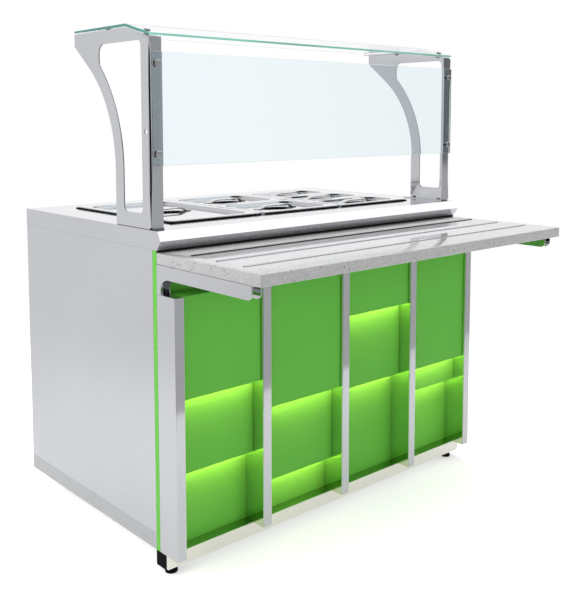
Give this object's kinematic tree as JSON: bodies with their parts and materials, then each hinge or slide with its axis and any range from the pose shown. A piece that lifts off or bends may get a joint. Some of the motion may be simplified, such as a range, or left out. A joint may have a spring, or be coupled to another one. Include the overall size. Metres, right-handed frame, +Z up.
{
  "type": "bain marie counter",
  "caption": "Steel serving counter with a heated well of lidded food pans, a glass sneeze guard on bowed brackets, a stone tray slide and a stepped, lit green front.",
  "frame": {"origin": "middle of the counter's outline on the floor, under the feet", "axes": "+X along the counter to the guests' right, -Y towards the guests and the tray slide, +Y towards the staff side, +Z up"},
  "size_m": [1.225, 1.1836, 1.4445],
  "materials": {
    "satin_steel": "satin",
    "polished_steel": "polished",
    "green_panel": "gloss",
    "green_board": "gloss",
    "speckled_stone": "polished",
    "clear_glass": "polished",
    "black_rubber": "matte",
    "black_paint": "satin",
    "element_sheath": "satin",
    "mineral_wool": "matte",
    "black_plastic": "matte",
    "rocker_plastic": "gloss",
    "lamp_lens": "polished",
    "led_lens": "satin",
    "driver_case": "satin",
    "valve_brass": "satin",
    "lever_coat": "gloss"
  },
  "bodies": {
    "counter": {"worktop": "satin_steel", "side_panel_left": "satin_steel", "side_panel_right": "satin_steel", "base_tray": "satin_steel", "control_fascia": "satin_steel", "control_box": "satin_steel", "front_fins": "satin_steel", "plinth": "satin_steel", "tray_bracket_left": "satin_steel", "tray_bracket_right": "satin_steel", "guard_bracket_left": "satin_steel", "guard_bracket_right": "satin_steel", "well_tank": "satin_steel", "pan_bars": "satin_steel", "tray_runners": "polished_steel", "guard_bolts": "polished_steel", "bay_liners": "polished_steel", "upper_panel_1": "green_panel", "upper_panel_2": "green_panel", "upper_panel_3": "green_panel", "upper_panel_4": "green_panel", "middle_panel_1": "green_panel", "middle_panel_2": "green_panel", "middle_panel_3": "green_panel", "middle_panel_4": "green_panel", "front_board": "green_board", "tray_slab": "speckled_stone", "shelf_glass": "clear_glass", "front_glass": "clear_glass", "well_seal": "black_rubber", "legs": "black_paint", "heating_elements": "element_sheath", "insulation_boards": "mineral_wool", "thermostat": "black_plastic", "switch_frames": "black_plastic", "cable_gland": "black_plastic", "pilot_lamp": "lamp_lens", "led_strips": "led_lens", "led_driver": "driver_case", "drain_valve": "valve_brass"},
    "pan_full": {"pan_full": "polished_steel"},
    "pan_half_back": {"pan_half_back": "polished_steel"},
    "pan_half_front": {"pan_half_front": "polished_steel"},
    "pan_third_back": {"pan_third_back": "polished_steel"},
    "pan_third_middle": {"pan_third_middle": "polished_steel"},
    "pan_third_front": {"pan_third_front": "polished_steel"},
    "lid_full": {"lid_full": "polished_steel"},
    "lid_half_back": {"lid_half_back": "polished_steel"},
    "lid_half_front": {"lid_half_front": "polished_steel"},
    "lid_third_back": {"lid_third_back": "polished_steel"},
    "lid_third_middle": {"lid_third_middle": "polished_steel"},
    "lid_third_front": {"lid_third_front": "polished_steel"},
    "levelling_foot_front_left": {"levelling_foot_front_left": "black_paint"},
    "levelling_foot_front_right": {"levelling_foot_front_right": "black_paint"},
    "levelling_foot_rear_left": {"levelling_foot_rear_left": "black_paint"},
    "levelling_foot_rear_right": {"levelling_foot_rear_right": "black_paint"},
    "thermostat_knob": {"thermostat_knob": "black_plastic"},
    "power_switch": {"power_switch": "rocker_plastic"},
    "light_switch": {"light_switch": "rocker_plastic"},
    "drain_lever": {"drain_lever": "lever_coat"}
  },
  "joints": [
    {"name": "pan_full_lift", "type": "slide", "parent": "counter", "child": "pan_full", "axis": [0, 0, 1], "range_m": [0, 0.2]},
    {"name": "lid_full_lift", "type": "slide", "parent": "pan_full", "child": "lid_full", "axis": [0, 0, 1], "range_m": [0, 0.06]},
    {"name": "pan_half_back_lift", "type": "slide", "parent": "counter", "child": "pan_half_back", "axis": [0, 0, 1], "range_m": [0, 0.2]},
    {"name": "lid_half_back_lift", "type": "slide", "parent": "pan_half_back", "child": "lid_half_back", "axis": [0, 0, 1], "range_m": [0, 0.06]},
    {"name": "pan_half_front_lift", "type": "slide", "parent": "counter", "child": "pan_half_front", "axis": [0, 0, 1], "range_m": [0, 0.2]},
    {"name": "lid_half_front_lift", "type": "slide", "parent": "pan_half_front", "child": "lid_half_front", "axis": [0, 0, 1], "range_m": [0, 0.06]},
    {"name": "pan_third_back_lift", "type": "slide", "parent": "counter", "child": "pan_third_back", "axis": [0, 0, 1], "range_m": [0, 0.2]},
    {"name": "lid_third_back_lift", "type": "slide", "parent": "pan_third_back", "child": "lid_third_back", "axis": [0, 0, 1], "range_m": [0, 0.06]},
    {"name": "pan_third_middle_lift", "type": "slide", "parent": "counter", "child": "pan_third_middle", "axis": [0, 0, 1], "range_m": [0, 0.2]},
    {"name": "lid_third_middle_lift", "type": "slide", "parent": "pan_third_middle", "child": "lid_third_middle", "axis": [0, 0, 1], "range_m": [0, 0.06]},
    {"name": "pan_third_front_lift", "type": "slide", "parent": "counter", "child": "pan_third_front", "axis": [0, 0, 1], "range_m": [0, 0.2]},
    {"name": "lid_third_front_lift", "type": "slide", "parent": "pan_third_front", "child": "lid_third_front", "axis": [0, 0, 1], "range_m": [0, 0.06]},
    {"name": "foot_front_left_screw", "type": "slide", "parent": "counter", "child": "levelling_foot_front_left", "axis": [0, 0, -1], "range_m": [0, 0.015]},
    {"name": "foot_front_right_screw", "type": "slide", "parent": "counter", "child": "levelling_foot_front_right", "axis": [0, 0, -1], "range_m": [0, 0.015]},
    {"name": "foot_rear_left_screw", "type": "slide", "parent": "counter", "child": "levelling_foot_rear_left", "axis": [0, 0, -1], "range_m": [0, 0.015]},
    {"name": "foot_rear_right_screw", "type": "slide", "parent": "counter", "child": "levelling_foot_rear_right", "axis": [0, 0, -1], "range_m": [0, 0.015]},
    {"name": "thermostat_turn", "type": "hinge", "parent": "counter", "child": "thermostat_knob", "pos_m": [-0.38, 0.56825, 0.8], "axis": [0, -1, 0], "range_deg": [0, 270]},
    {"name": "power_switch_rock", "type": "hinge", "parent": "counter", "child": "power_switch", "pos_m": [-0.318, 0.56425, 0.8], "axis": [-1, 0, 0], "range_deg": [0, 16]},
    {"name": "light_switch_rock", "type": "hinge", "parent": "counter", "child": "light_switch", "pos_m": [-0.2746, 0.56425, 0.8], "axis": [-1, 0, 0], "range_deg": [0, 16]},
    {"name": "drain_lever_turn", "type": "hinge", "parent": "counter", "child": "drain_lever", "pos_m": [0.38, 0.39105, 0.636], "axis": [0, 1, 0], "range_deg": [0, 90]}
  ]
}
